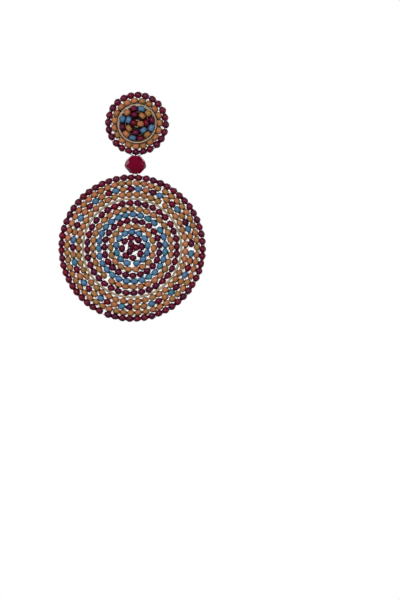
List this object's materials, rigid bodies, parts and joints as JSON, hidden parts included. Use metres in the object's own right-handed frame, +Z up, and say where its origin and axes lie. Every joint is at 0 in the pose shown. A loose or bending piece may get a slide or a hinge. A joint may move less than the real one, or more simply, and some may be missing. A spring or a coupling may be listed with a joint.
{
  "type": "seed bead drop earring",
  "caption": "Drop earring of opaque glass seed beads stitched in rows round wire hoops: a round stud with an ear post, a faceted crystal, and a large round drop that swings.",
  "frame": {"origin": "on the post's axis at the back face of its pad, where the stud sits on the ear", "axes": "+Z up with the drop hanging along -Z, the beaded face looks along -Y, the post runs along +Y through the ear, +X to the right seen from the front"},
  "size_m": [0.0416, 0.0156, 0.0649],
  "materials": {
    "burgundy_beads": "opaque, satin",
    "tan_beads": "opaque, satin, mottled",
    "blue_beads": "opaque, satin",
    "mixed_beads": "opaque, satin; burgundy, blue and tan beads in turn, mean colour",
    "hoop_wire": "pale champagne plating, worn matt",
    "crystal_glass": "deep crimson, faceted and polished",
    "thread": "twisted nylon beading thread",
    "backing_felt": "dark maroon-brown felt, nearly black",
    "post_metal": "polished"
  },
  "bodies": {
    "stud": {"ear_post": "post_metal", "stud_backing": "backing_felt", "stud_hoop": "hoop_wire", "stud_centre_pair": "mixed_beads", "stud_inner_circle": "mixed_beads", "stud_outer_circle": "mixed_beads", "stud_tan_row": "tan_beads", "stud_edge_row": "burgundy_beads"},
    "crystal": {"crystal_bead": "crystal_glass", "crystal_thread": "thread"},
    "drop": {"drop_hoop": "hoop_wire", "drop_centre": "burgundy_beads", "inner_row_7": "burgundy_beads", "inner_row_6": "blue_beads", "inner_row_5": "tan_beads", "inner_row_4": "burgundy_beads", "inner_row_3": "blue_beads", "inner_row_2": "tan_beads", "inner_row_1": "burgundy_beads", "outer_row_1": "tan_beads", "outer_row_2": "mixed_beads", "outer_row_3": "tan_beads", "drop_edge_row": "burgundy_beads"}
  },
  "joints": [
    {"name": "crystal_swing", "type": "hinge", "parent": "stud", "child": "crystal", "pos_m": [0, -0.00252, -0.00902], "axis": [1, 0, 0], "range_deg": [-30, 30]},
    {"name": "drop_swing", "type": "hinge", "parent": "crystal", "child": "drop", "pos_m": [0, -0.00252, -0.01432], "axis": [1, 0, 0], "range_deg": [-30, 30]}
  ]
}
